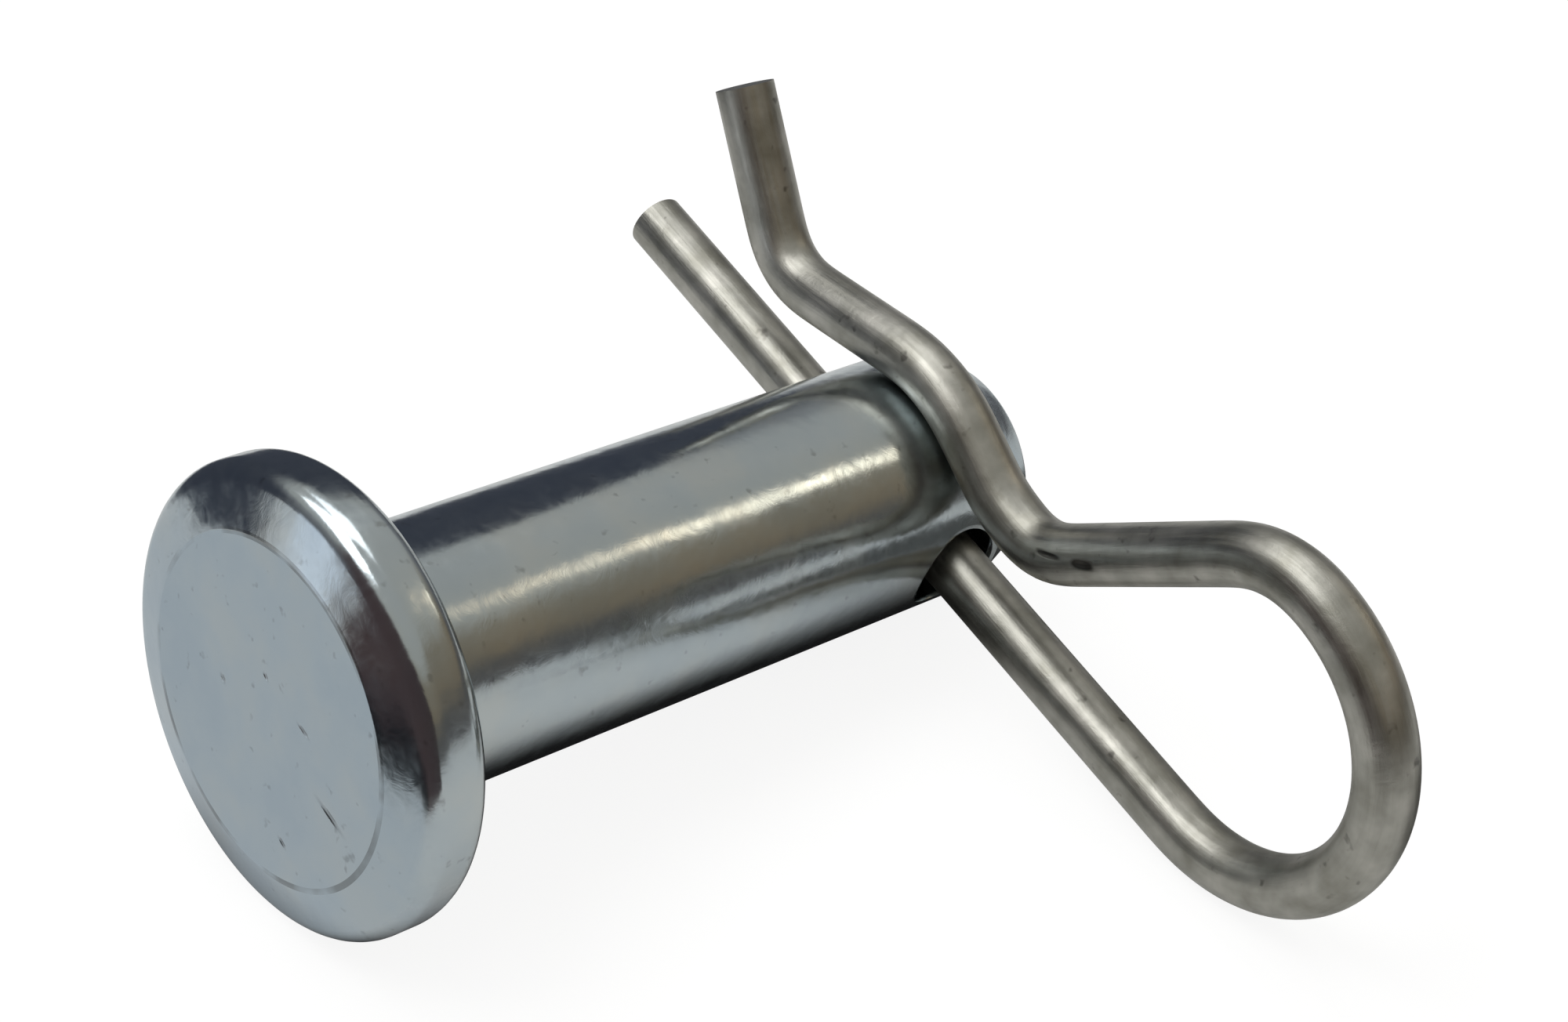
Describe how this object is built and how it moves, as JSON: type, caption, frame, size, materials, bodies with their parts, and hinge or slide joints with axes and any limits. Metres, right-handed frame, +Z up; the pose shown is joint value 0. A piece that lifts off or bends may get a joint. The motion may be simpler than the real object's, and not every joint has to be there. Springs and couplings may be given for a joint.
{
  "type": "clevis pin with spring clip",
  "caption": "Headed clevis pin with a cross hole near its tapered point, kept in place by a bent wire spring clip that hugs the shank.",
  "frame": {"origin": "middle of the bounding box, on the floor that the pin lies on", "axes": "the pin lies on its side: +Z is up, +X runs from the head towards the point with the pin's axis sloping down to it, and -Y is the side of the clip's bow"},
  "size_m": [0.035, 0.0436, 0.0179],
  "materials": {
    "zinc_plate": "bright zinc plate, lightly scuffed",
    "spring_wire": "satin drawn spring wire"
  },
  "bodies": {
    "root": {"clevis_pin": "zinc_plate", "r_clip": "spring_wire"}
  },
  "joints": []
}
